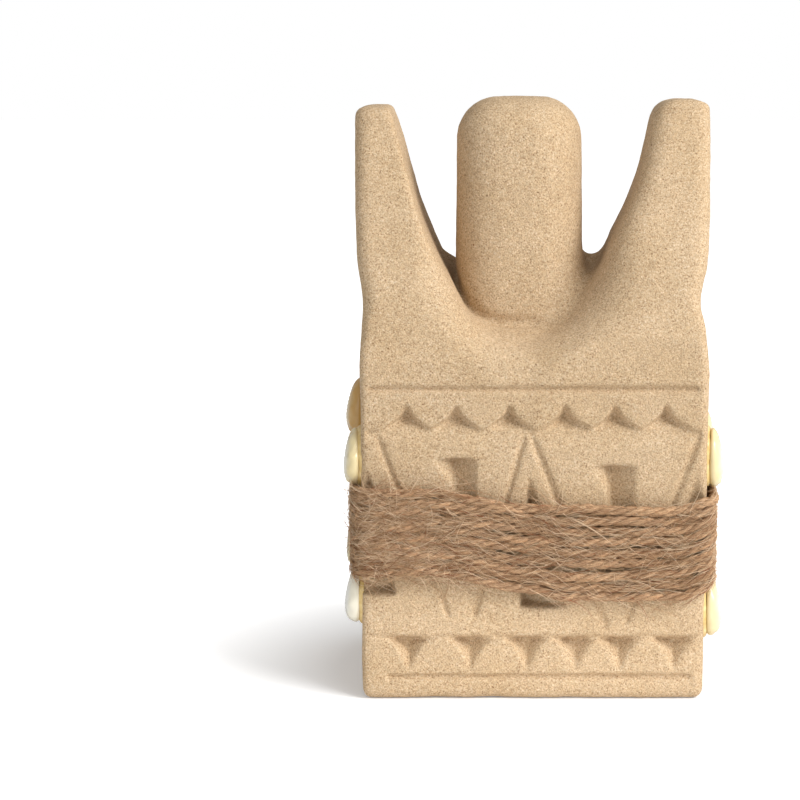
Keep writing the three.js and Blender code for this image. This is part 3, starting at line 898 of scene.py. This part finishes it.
def make_glue_bead(name, seed):
    """A skirt of glue that wells up round a shell's foot."""
    low, high = box_mm(f"cowrie_{name}")
    side = side_of(name)
    spokes = BEAD_SPOKES
    angle = 2 * math.pi * np.arange(spokes) / spokes
    across, along = cowrie_outline(angle, seed)
    circle = np.column_stack([3 * np.cos(angle), 3 * np.sin(angle), np.zeros(spokes)])
    spread = 1 + wobble(circle, seed + 100, 0.035, 2, 6, 8)
    rise = 1 + wobble(circle, seed + 200, 0.3, 2, 6, 8)
    section = [(0.5, 0.5), (0.8, 0.62), (0.9, 0.6), (0.97, 0.45), (1.01, 0.24), (1.035, 0.05), (1.03, -0.35)]
    rings = []
    for share, height in section:
        u = (high[1] - low[1]) / 2 * share * across * spread
        v = (high[2] - low[2]) / 2 * share * along * spread
        w = (height * np.where(height > 0, rise, 1)) * 1.25 * np.ones(spokes)
        rings.append(np.stack([u, v, w], axis=1))
    points = np.stack(rings)
    foot_x = stone_face_x(name)
    centre = (low + high) / 2
    beside, up, out = side_axes(side, corner_tilt(name))
    lifted = 0.25 * abs(corner_tilt(name)) / CORNER_TILT
    origin = np.array([side * (foot_x + lifted), centre[1], centre[2]])
    placed = origin + points[..., :1] * beside + points[..., 1:2] * up + points[..., 2:] * out
    placed = placed.reshape(-1, 3)
    vertices = np.vstack([placed, placed[:spokes].mean(0), placed[-spokes:].mean(0)])
    faces = triangles(ring_faces(len(section), spokes))
    first = np.arange(spokes)
    last = first + (len(section) - 1) * spokes
    caps = np.vstack([fan(first, len(vertices) - 2)[:, ::-1], fan(last, len(vertices) - 1)])
    return mesh_object(f"glue_bead_{name}", vertices, np.vstack([faces, caps]))


# ---- materials


def new_material(name, **settings):
    """Material with its nodes, links and shader; settings are the shader's, with _ for a space."""
    material = bpy.data.materials.new(name)
    material.use_nodes = True
    nodes = material.node_tree.nodes
    shader = nodes["Principled BSDF"]
    for key, value in settings.items():
        shader.inputs[key.replace("_", " ")].default_value = value
    return material, nodes, material.node_tree.links, shader


def node(nodes, kind, **settings):
    made = nodes.new(kind)
    for key, value in settings.items():
        if key in made.inputs:
            made.inputs[key].default_value = value
        else:
            setattr(made, key, value)
    return made


def voronoi(nodes, links, place, scale):
    made = node(nodes, "ShaderNodeTexVoronoi", Scale=scale)
    links.new(place, made.inputs["Vector"])
    return made


def noise(nodes, links, place, scale, detail, roughness=0.5):
    """Value output of a noise texture."""
    made = node(nodes, "ShaderNodeTexNoise", Scale=scale, Detail=detail, Roughness=roughness)
    links.new(place, made.inputs["Vector"])
    return made.outputs["Fac"]


def ramp(nodes, links, share, stops):
    """Colour output that runs through (position, colour) stops."""
    made = nodes.new("ShaderNodeValToRGB")
    links.new(share, made.inputs["Fac"])
    elements = made.color_ramp.elements
    while len(elements) < len(stops):
        elements.new(0.5)
    for element, (position, color) in zip(elements, stops):
        element.position = position
        element.color = (*color, 1)
    return made.outputs["Color"]


def mapped(nodes, links, value, low, high, start=0.0, end=1.0):
    """Value output that runs from low to high as the value goes from start to end."""
    limits = {"From Min": start, "From Max": end, "To Min": low, "To Max": high}
    made = node(nodes, "ShaderNodeMapRange", **limits)
    links.new(value, made.inputs["Value"])
    return made.outputs["Result"]


def srgb(red, green, blue):
    """Linear colour from 0 to 255 screen values."""
    def linear(value):
        value /= 255
        return value / 12.92 if value <= 0.04045 else ((value + 0.055) / 1.055) ** 2.4
    return linear(red), linear(green), linear(blue)


def multiplied(nodes, links, base, factor):
    """Colour output of base times factor."""
    mix = node(nodes, "ShaderNodeMix", data_type="RGBA", blend_type="MULTIPLY")
    mix.inputs["Factor"].default_value = 1
    links.new(base, mix.inputs[6])
    links.new(factor, mix.inputs[7])
    return mix.outputs[2]


def blended(nodes, links, share, first, second):
    """Colour output that goes from first to second, each a socket or a colour."""
    mix = node(nodes, "ShaderNodeMix", data_type="RGBA")
    links.new(share, mix.inputs["Factor"])
    for socket, value in ((mix.inputs[6], first), (mix.inputs[7], second)):
        if isinstance(value, tuple):
            socket.default_value = (*value, 1)
        else:
            links.new(value, socket)
    return mix.outputs[2]


def attribute(nodes, name):
    made = nodes.new("ShaderNodeAttribute")
    made.attribute_name = name
    return made


def add_bump(nodes, links, shader, height, strength, distance):
    bump = node(nodes, "ShaderNodeBump", Strength=strength, Distance=distance)
    links.new(height, bump.inputs["Height"])
    links.new(bump.outputs["Normal"], shader.inputs["Normal"])


def fleck_share(nodes, links, place):
    """Small spots in a few of the cells, as a share from 0 to 0.8."""
    flecks = voronoi(nodes, links, place, 230)
    pick = node(nodes, "ShaderNodeSeparateColor")
    links.new(flecks.outputs["Color"], pick.inputs["Color"])
    rare = node(nodes, "ShaderNodeMath", operation="GREATER_THAN")
    rare.inputs[1].default_value = 0.93
    links.new(pick.outputs[1], rare.inputs[0])
    near = mapped(nodes, links, flecks.outputs["Distance"], 0.8, 0.0, start=0.04, end=0.075)
    fleck = node(nodes, "ShaderNodeMath", operation="MULTIPLY")
    links.new(rare.outputs[0], fleck.inputs[0])
    links.new(near, fleck.inputs[1])
    return fleck.outputs[0]


def sandstone_material():
    material, nodes, links, shader = new_material("sandstone", Roughness=0.92, Specular_IOR_Level=0.25)
    place = node(nodes, "ShaderNodeTexCoord").outputs["Object"]
    grains = voronoi(nodes, links, place, 2100)
    fine = noise(nodes, links, place, 2600, 3, 0.65)
    cloudy = noise(nodes, links, place, 70, 3)

    dark, tan, sand, pale = srgb(112, 83, 57), srgb(186, 157, 122), srgb(208, 184, 152), srgb(231, 214, 190)
    tones = ramp(nodes, links, fine, [(0.3, dark), (0.41, tan), (0.6, sand), (0.78, pale)])
    cell_tone = node(nodes, "ShaderNodeSeparateColor")
    links.new(grains.outputs["Color"], cell_tone.inputs["Color"])
    cell_shade = mapped(nodes, links, cell_tone.outputs[0], 0.86, 1.08)
    clouds = ramp(nodes, links, cloudy, [(0.35, (0.93, 0.91, 0.87)), (0.65, (1.0, 1.0, 1.0))])
    clouded = multiplied(nodes, links, multiplied(nodes, links, tones, cell_shade), clouds)
    flecked = blended(nodes, links, fleck_share(nodes, links, place), clouded, srgb(120, 78, 42))
    links.new(flecked, shader.inputs["Base Color"])

    height = node(nodes, "ShaderNodeMath", operation="MULTIPLY_ADD")
    height.inputs[1].default_value = -0.55
    links.new(grains.outputs["Distance"], height.inputs[0])
    links.new(fine, height.inputs[2])
    add_bump(nodes, links, shader, height.outputs[0], 0.55, 0.00035)
    return material


def jute_material():
    material, nodes, links, shader = new_material("jute", Roughness=0.8, Specular_IOR_Level=0.3)
    fibre = attribute(nodes, "fibre").outputs["Vector"]
    fine = noise(nodes, links, fibre, 7, 4, 0.7)
    patchy = noise(nodes, links, fibre, 1.1, 2)
    dark, brown, tan, pale = srgb(84, 58, 38), srgb(162, 127, 94), srgb(206, 172, 135), srgb(238, 212, 180)
    straw = ramp(nodes, links, fine, [(0.3, dark), (0.45, brown), (0.6, tan), (0.75, pale)])
    stops = [(0.32, (0.68, 0.63, 0.6)), (0.58, (1.0, 1.0, 1.0)), (0.75, (1.06, 0.93, 0.84))]
    patches = ramp(nodes, links, patchy, stops)
    tone = attribute(nodes, "tone").outputs["Fac"]
    shade = ramp(nodes, links, tone, [(0.1, (0.8, 0.78, 0.78)), (0.9, (1.05, 1.03, 1.0))])
    patched = multiplied(nodes, links, straw, patches)
    links.new(multiplied(nodes, links, patched, shade), shader.inputs["Base Color"])
    add_bump(nodes, links, shader, fine, 0.7, 0.00015)
    return material


def fibre_material():
    material, nodes, links, shader = new_material("loose_fibre", Roughness=0.7, Specular_IOR_Level=0.3)
    pale, tan, brown, red = srgb(226, 200, 168), srgb(190, 154, 116), srgb(158, 116, 80), srgb(150, 92, 60)
    tone = attribute(nodes, "tone").outputs["Fac"]
    tones = ramp(nodes, links, tone, [(0.0, pale), (0.45, tan), (0.8, brown), (1.0, red)])
    links.new(tones, shader.inputs["Base Color"])
    return material


def shell_material(name, face, rim, groove):
    material, nodes, links, shader = new_material(
        name, Roughness=0.24, Specular_IOR_Level=0.5, Coat_Weight=0.3, Coat_Roughness=0.12)
    place = node(nodes, "ShaderNodeTexCoord").outputs["Object"]
    cloudy = noise(nodes, links, place, 260, 3)
    stronger = node(nodes, "ShaderNodeMath", operation="MULTIPLY_ADD", use_clamp=True)
    stronger.inputs[1].default_value = 1.0
    links.new(attribute(nodes, "rim").outputs["Fac"], stronger.inputs[0])
    links.new(mapped(nodes, links, cloudy, -0.25, 0.25), stronger.inputs[2])
    body = blended(nodes, links, stronger.outputs[0], face, rim)
    # groove is painted shade, laid where the deep share marks the slit and the spaces between the teeth.
    deep = attribute(nodes, "deep").outputs["Fac"]
    links.new(blended(nodes, links, deep, body, groove), shader.inputs["Base Color"])
    return material


def glue_material():
    material, nodes, links, shader = new_material("glue", Roughness=0.22)
    place = node(nodes, "ShaderNodeTexCoord").outputs["Object"]
    cloudy = noise(nodes, links, place, 500, 2)
    amber_and_straw = [(0.3, srgb(206, 172, 104)), (0.7, srgb(232, 208, 150))]
    links.new(ramp(nodes, links, cloudy, amber_and_straw), shader.inputs["Base Color"])
    return material


# ---- stage, light and camera


def make_stage():
    """White floor with a painted glow that only the camera sees; the glow is weaker close to the figure,
    painted shade that deepens its shadow there.
    """
    reach = 4000
    corners = [(-reach, -reach, 0), (reach, -reach, 0), (reach, reach, 0), (-reach, reach, 0)]
    floor = mesh_object("floor", corners, [(0, 1, 2, 3)])
    material, nodes, links, shader = new_material("floor", Roughness=1.0, Specular_IOR_Level=0.0)
    shader.inputs["Base Color"].default_value = (0.9, 0.9, 0.9, 1)
    shader.inputs["Emission Color"].default_value = (1, 1, 1, 1)
    seen = nodes.new("ShaderNodeLightPath").outputs["Is Camera Ray"]
    glow = node(nodes, "ShaderNodeMath", operation="MULTIPLY")
    glow.inputs[1].default_value = FLOOR_GLOW
    place = node(nodes, "ShaderNodeTexCoord").outputs["Object"]
    away = node(nodes, "ShaderNodeVectorMath", operation="LENGTH")
    links.new(place, away.inputs[0])
    # The glow drops to a quarter within about 5 cm of the middle: painted shade round the figure's foot.
    spread = mapped(nodes, links, away.outputs["Value"], 0.25, 1.0, start=0.05, end=0.09)
    seen_glow = node(nodes, "ShaderNodeMath", operation="MULTIPLY")
    links.new(seen, seen_glow.inputs[0])
    links.new(spread, seen_glow.inputs[1])
    links.new(seen_glow.outputs[0], glow.inputs[0])
    links.new(glow.outputs[0], shader.inputs["Emission Strength"])
    floor.data.materials.append(material)


def area_light(name, azimuth, elevation, distance, size, power, height, flatness=1.0):
    """Soft light, so many degrees right of the front and up, that looks at a height on the figure."""
    target = Vector((0, 0, height))
    across, rise = math.radians(azimuth), math.radians(elevation)
    toward = Vector((math.sin(across) * math.cos(rise), -math.cos(across) * math.cos(rise), math.sin(rise)))
    data = bpy.data.lights.new(name, "AREA")
    data.shape = "ELLIPSE"
    data.size = size
    data.size_y = flatness * size
    data.energy = power
    lamp = bpy.data.objects.new(name, data)
    lamp.location = target + distance * toward
    lamp.rotation_euler = (-toward).to_track_quat("-Z", "Y").to_euler()
    lamp.visible_camera = False
    bpy.context.scene.collection.objects.link(lamp)


def make_light():
    world = bpy.data.worlds.new("studio")
    world.use_nodes = True
    nodes, links = world.node_tree.nodes, world.node_tree.links
    background = nodes["Background"]
    background.inputs["Color"].default_value = (1, 1, 1, 1)
    seen = nodes.new("ShaderNodeLightPath").outputs["Is Camera Ray"]
    links.new(mapped(nodes, links, seen, SKY_STRENGTH, 1.0), background.inputs["Strength"])
    bpy.context.scene.world = world
    area_light("key", **KEY)
    area_light("fill", **FILL)
    area_light("card", **CARD, flatness=CARD_FLATNESS)


def make_camera():
    lowest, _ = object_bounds()
    pitch = math.radians(CAMERA_PITCH)
    aim = Vector((0, lowest.y + FACE_BEHIND_TWINE, CAMERA_AIM_Z))
    data = bpy.data.cameras.new("camera")
    data.sensor_width = 36
    data.lens = CAMERA_LENS
    data.shift_x = CAMERA_SHIFT
    camera = bpy.data.objects.new("camera", data)
    camera.location = aim + CAMERA_DISTANCE * Vector((0, -math.cos(pitch), math.sin(pitch)))
    camera.rotation_euler = (math.pi / 2 - pitch, 0, 0)
    bpy.context.scene.collection.objects.link(camera)
    bpy.context.scene.camera = camera


def hand_in(piece, material, node_name):
    piece.data.materials.append(material)
    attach(piece, BODY)
    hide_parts(node_name)


make_camera()
make_stage()
make_light()
bpy.context.scene.view_settings.view_transform = "Standard"

hand_in(make_stone(), sandstone_material(), "stone_body")
hand_in(make_twine(), jute_material(), "twine_wrap")
hand_in(make_loose_fibres(), fibre_material(), "twine_wrap")

# The third colour of each shell look is painted shade for the slit and the spaces between the teeth.
ivory = shell_material("ivory_shell", srgb(230, 225, 208), srgb(226, 208, 160), srgb(190, 152, 96))
# Darker, amber copy of the ivory look: painted shade for the middle shell that sits in shadow behind the
# front corner shell.
amber_painted_shade = shell_material("amber_shell_painted_shade", srgb(214, 192, 150), srgb(190, 150, 84), srgb(140, 98, 48))
white = shell_material("white_shell", srgb(238, 238, 232), srgb(232, 226, 206), srgb(196, 176, 140))
glue = glue_material()
for number, name in enumerate(shell_names()):
    shell_look = {PAINTED_SHADE_SHELL: amber_painted_shade, WHITE_SHELL: white}.get(name, ivory)
    hand_in(make_shell(name, number), shell_look, f"cowrie_{name}")
    hand_in(make_glue_bead(name, number), glue, f"glue_{name}")
